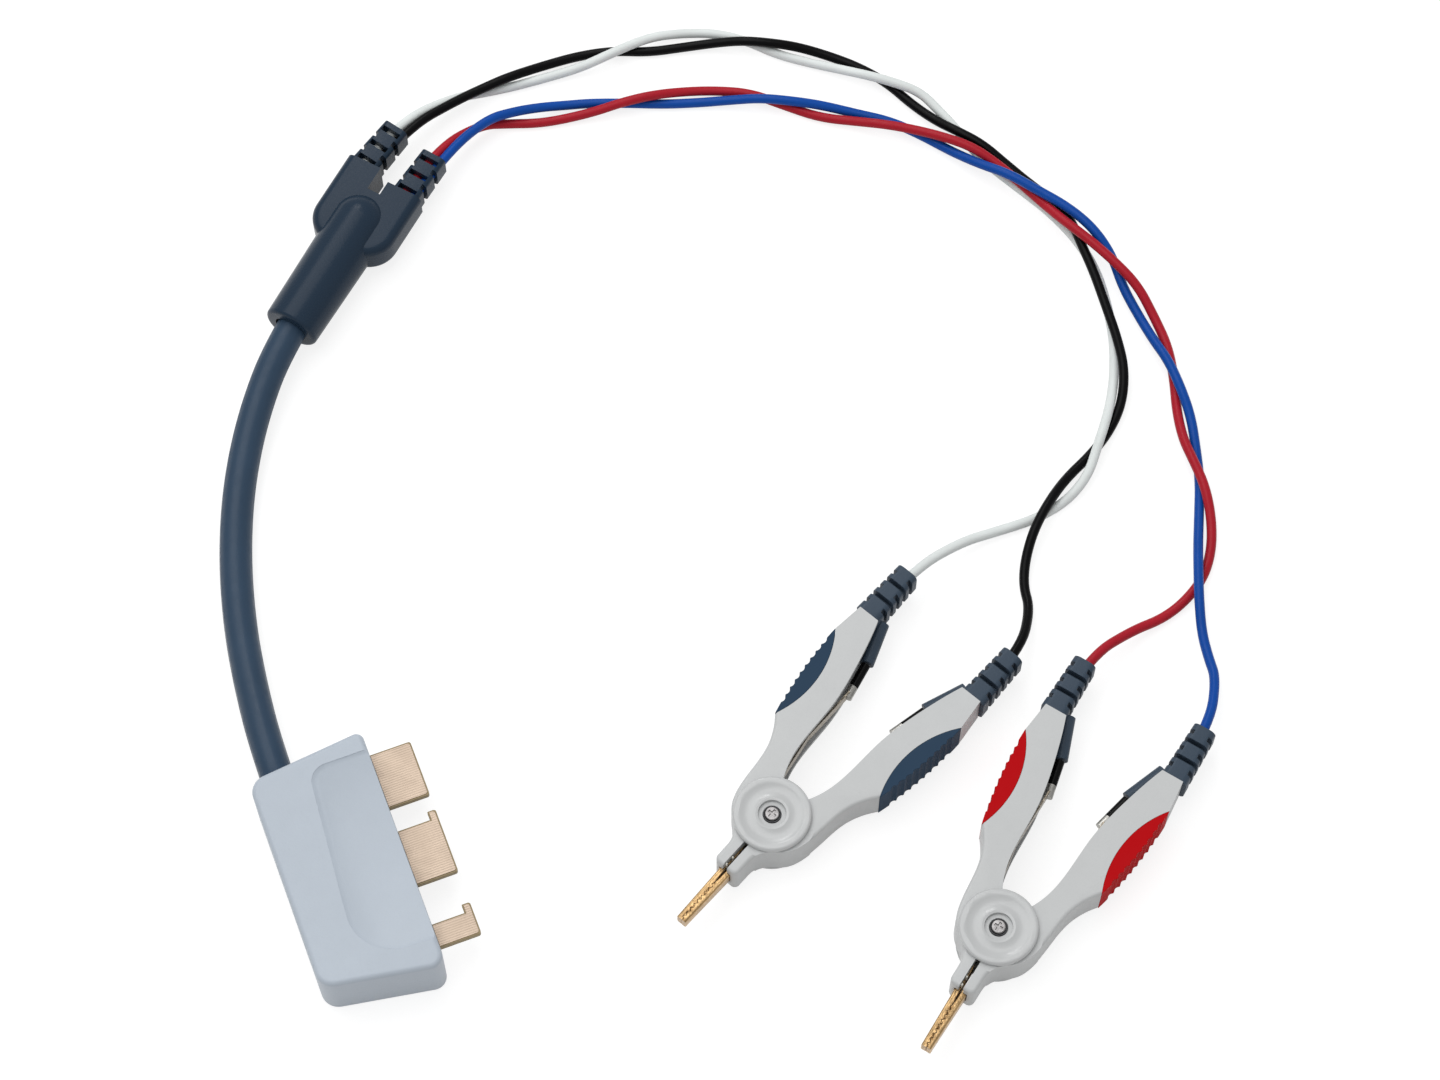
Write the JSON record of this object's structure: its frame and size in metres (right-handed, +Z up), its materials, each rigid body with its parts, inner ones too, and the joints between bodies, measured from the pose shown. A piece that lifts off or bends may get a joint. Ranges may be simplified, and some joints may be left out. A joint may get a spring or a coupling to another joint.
{
  "type": "kelvin test lead",
  "caption": "Four-wire test lead: flat plug with gold contact fingers, round cable, splitter, twisted lead pairs and two sprung clips with insulated gold jaws.",
  "frame": {"origin": "middle of the plug, splitter and clips as they lie, on the table plane", "axes": "+Z up from the table; +Y from the clips towards the splitter; +X from the plug towards the clips"},
  "size_m": [0.2277, 0.2584, 0.016],
  "materials": {
    "plug_plastic": "satin",
    "board_laminate": "satin",
    "gold_plate": "satin",
    "screw_steel": "satin",
    "ferrule_metal": "satin",
    "bush_metal": "polished",
    "spring_steel": "satin",
    "crimp_metal": "satin",
    "boot_plastic": "matte",
    "cable_jacket": "matte",
    "white_lead": "satin",
    "black_lead": "satin",
    "red_lead": "satin",
    "blue_lead": "satin",
    "clip_plastic": "satin",
    "grey_grip": "matte",
    "red_grip": "matte",
    "black_sleeve": "satin"
  },
  "bodies": {
    "body": {"black_lead": "black_lead", "blue_lead": "blue_lead", "contact_board": "board_laminate", "grey_bottom_disc": "clip_plastic", "grey_fixed_arm": "clip_plastic", "grey_fixed_boot": "boot_plastic", "grey_fixed_crimp": "crimp_metal", "grey_fixed_grip": "grey_grip", "grey_fixed_jaw": "gold_plate", "grey_fixed_shrink_sleeve": "black_sleeve", "grey_pivot_bush": "bush_metal", "grey_pivot_nut": "screw_steel", "grey_pivot_screw": "screw_steel", "grey_top_disc": "clip_plastic", "grey_torsion_spring": "spring_steel", "guard_contact": "gold_plate", "high_contact": "gold_plate", "low_contact": "gold_plate", "main_cable": "cable_jacket", "plug_bottom_shell": "plug_plastic", "plug_ferrule": "ferrule_metal", "plug_screws": "screw_steel", "plug_top_shell": "plug_plastic", "red_bottom_disc": "clip_plastic", "red_fixed_arm": "clip_plastic", "red_fixed_boot": "boot_plastic", "red_fixed_crimp": "crimp_metal", "red_fixed_grip": "red_grip", "red_fixed_jaw": "gold_plate", "red_fixed_shrink_sleeve": "black_sleeve", "red_lead": "red_lead", "red_pivot_bush": "bush_metal", "red_pivot_nut": "screw_steel", "red_pivot_screw": "screw_steel", "red_top_disc": "clip_plastic", "red_torsion_spring": "spring_steel", "splitter_ferrule": "ferrule_metal", "splitter_moulding": "cable_jacket", "white_lead": "white_lead"},
    "grey_clip_lever": {"grey_moving_arm": "clip_plastic", "grey_moving_grip": "grey_grip", "grey_moving_boot": "boot_plastic", "grey_moving_jaw": "gold_plate", "grey_moving_crimp": "crimp_metal", "grey_moving_shrink_sleeve": "black_sleeve"},
    "red_clip_lever": {"red_moving_arm": "clip_plastic", "red_moving_grip": "red_grip", "red_moving_boot": "boot_plastic", "red_moving_jaw": "gold_plate", "red_moving_crimp": "crimp_metal", "red_moving_shrink_sleeve": "black_sleeve"}
  },
  "joints": [
    {"name": "grey_clip_hinge", "type": "hinge", "parent": "body", "child": "grey_clip_lever", "pos_m": [0.0084, -0.062, 0.0064], "axis": [0, 0, 1], "range_deg": [0, 16], "stiffness_Nm_per_rad": 0.16, "springref_deg": -32.09, "deforming": ["black_lead", "grey_torsion_spring"]},
    {"name": "red_clip_hinge", "type": "hinge", "parent": "body", "child": "red_clip_lever", "pos_m": [0.0572, -0.0879, 0.0064], "axis": [0, 0, 1], "range_deg": [0, 16], "stiffness_Nm_per_rad": 0.16, "springref_deg": -32.09, "deforming": ["blue_lead", "red_torsion_spring"]}
  ]
}
